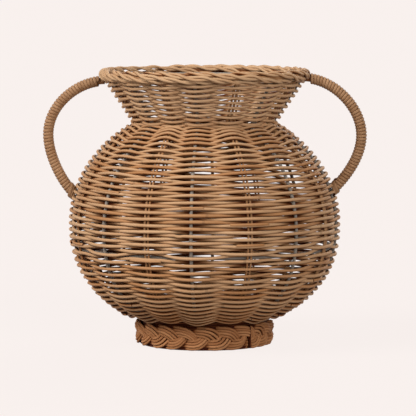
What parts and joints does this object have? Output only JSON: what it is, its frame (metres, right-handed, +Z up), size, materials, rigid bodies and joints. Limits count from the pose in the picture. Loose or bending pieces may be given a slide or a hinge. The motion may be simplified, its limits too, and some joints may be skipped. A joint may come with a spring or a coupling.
{
  "type": "rattan vase",
  "caption": "Round-bellied woven rattan vase on a steel wire frame, with a flared collar, rolled border, plaited foot and cane-wound bow handles.",
  "frame": {"origin": "on the table plane, under the middle of the foot ring", "axes": "+Z up along the vase's axis, +X through the right handle, -Y towards the picture's front"},
  "size_m": [0.3534, 0.2972, 0.3],
  "materials": {
    "weave_cane": "satin round rattan, mid brown",
    "stake_cane": "satin thin rattan, mid brown",
    "border_cane": "satin rattan, mid brown",
    "foot_plait": "satin rattan, red brown",
    "handle_cane": "satin split rattan with its skin outwards",
    "handle_core": "plain rattan pole",
    "frame_steel": "matt grey paint on steel wire"
  },
  "bodies": {
    "root": {"foot_braid": "foot_plait", "base_weave": "weave_cane", "lower_belly_weave": "weave_cane", "upper_belly_weave": "weave_cane", "collar_weave": "weave_cane", "rim_wale": "border_cane", "rim_border": "border_cane", "base_hoop": "frame_steel", "belly_hoop": "frame_steel", "rim_hoop": "frame_steel", "base_stick_long_1": "stake_cane", "base_stick_cross_1": "stake_cane", "base_stick_long_2": "stake_cane", "base_stick_cross_2": "stake_cane", "base_stick_long_3": "stake_cane", "base_stick_cross_3": "stake_cane", "frame_rod_1": "frame_steel", "frame_rod_2": "frame_steel", "frame_rod_3": "frame_steel", "frame_rod_4": "frame_steel", "frame_rod_5": "frame_steel", "frame_rod_6": "frame_steel", "frame_rod_7": "frame_steel", "frame_rod_8": "frame_steel", "stake_cane_1a": "stake_cane", "stake_cane_1b": "stake_cane", "stake_cane_2a": "stake_cane", "stake_cane_2b": "stake_cane", "stake_cane_3a": "stake_cane", "stake_cane_3b": "stake_cane", "stake_cane_4a": "stake_cane", "stake_cane_4b": "stake_cane", "stake_cane_5a": "stake_cane", "stake_cane_5b": "stake_cane", "stake_cane_6a": "stake_cane", "stake_cane_6b": "stake_cane", "stake_cane_7a": "stake_cane", "stake_cane_7b": "stake_cane", "stake_cane_8a": "stake_cane", "stake_cane_8b": "stake_cane", "right_handle_core": "handle_core", "right_handle_wrap": "handle_cane", "right_handle_lash": "handle_cane", "left_handle_core": "handle_core", "left_handle_wrap": "handle_cane", "left_handle_lash": "handle_cane"}
  },
  "joints": []
}
